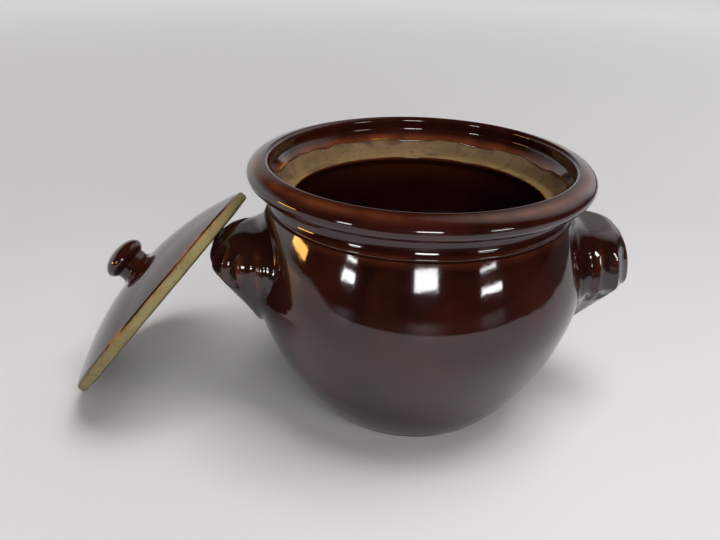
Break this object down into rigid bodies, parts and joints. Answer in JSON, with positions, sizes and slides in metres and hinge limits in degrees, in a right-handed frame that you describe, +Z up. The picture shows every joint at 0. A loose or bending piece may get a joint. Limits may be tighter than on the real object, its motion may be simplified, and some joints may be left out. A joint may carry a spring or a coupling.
{
  "type": "stoneware bean pot",
  "caption": "Round bellied stoneware pot with fluted lug handles, an inner ledge under a rolled rim, and a domed lift-off lid with a knob.",
  "frame": {"origin": "centre of the pot's flat foot, on the surface that it stands on", "axes": "+Z up along the pot's axis; +X from the pot's middle through the right handle, away from the leaning lid; +Y to the back"},
  "size_m": [0.3354, 0.2, 0.1553],
  "materials": {
    "bare_clay": "matt unglazed stoneware",
    "brown_glaze": "glossy treacle-brown glaze",
    "dark_glaze": "glossy dark brown glaze",
    "handle_glaze": "glossy treacle-brown glaze, thinner on the ridges",
    "lid_clay": "matt unglazed stoneware",
    "lid_glaze": "glossy treacle-brown glaze"
  },
  "bodies": {
    "pot": {"pot_body": "bare_clay", "outer_glaze": "brown_glaze", "inner_glaze": "dark_glaze", "left_handle": "handle_glaze", "right_handle": "handle_glaze"},
    "lid": {"lid_body": "lid_clay", "lid_knob": "brown_glaze", "lid_glaze": "lid_glaze", "lid_under_glaze": "dark_glaze"}
  },
  "joints": [
    {"name": "lid_lift", "type": "slide", "parent": "pot", "child": "lid", "axis": [0, 0, 1], "range_m": [0, 0.2]}
  ]
}
